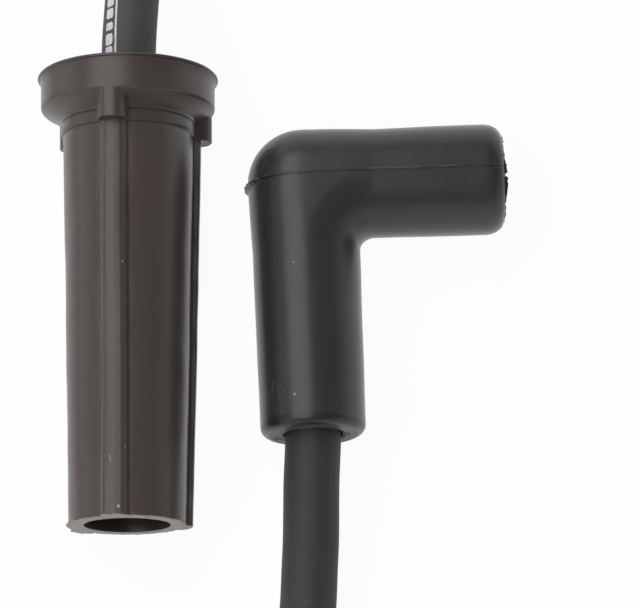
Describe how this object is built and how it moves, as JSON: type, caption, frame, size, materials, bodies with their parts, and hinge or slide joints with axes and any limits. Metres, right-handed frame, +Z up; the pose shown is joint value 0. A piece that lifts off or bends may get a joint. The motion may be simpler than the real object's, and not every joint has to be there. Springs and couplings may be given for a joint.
{
  "type": "spark plug wire",
  "caption": "Short spark plug lead: flanged straight plug boot with ribs, plain elbow boot, crimped terminals inside, black silicone cable looped between them.",
  "frame": {"origin": "centre of the two boots' footprint, on the plane the lead lies on; the cable isn't counted", "axes": "+Z up from the plane, +Y along the straight boot from its mouth to its flange, +X towards the mouth of the elbow boot"},
  "size_m": [0.1206, 0.1669, 0.0263],
  "materials": {
    "brown_silicone": "satin moulded dark brown",
    "black_rubber": "satin moulded black",
    "cable_jacket": "matt extruded black with a thin white line",
    "glass_braid": "woven glass yarn",
    "inner_insulation": "matt grey",
    "suppressor_coat": "matt black, loaded",
    "aramid_strand": "twisted yarn",
    "plated_steel": "bright plated sheet",
    "spring_steel": "drawn wire"
  },
  "bodies": {
    "root": {"plug_boot": "brown_silicone", "plug_terminal": "plated_steel", "plug_terminal_clip": "spring_steel", "plug_end_jacket": "cable_jacket", "plug_end_braid": "glass_braid", "plug_end_insulation": "inner_insulation", "plug_end_suppressor": "suppressor_coat", "plug_end_core": "aramid_strand", "elbow_boot": "black_rubber", "elbow_terminal": "plated_steel", "elbow_terminal_clip": "spring_steel", "elbow_end_jacket": "cable_jacket", "elbow_end_braid": "glass_braid", "elbow_end_insulation": "inner_insulation", "elbow_end_suppressor": "suppressor_coat", "elbow_end_core": "aramid_strand", "cable": "cable_jacket"}
  },
  "joints": []
}
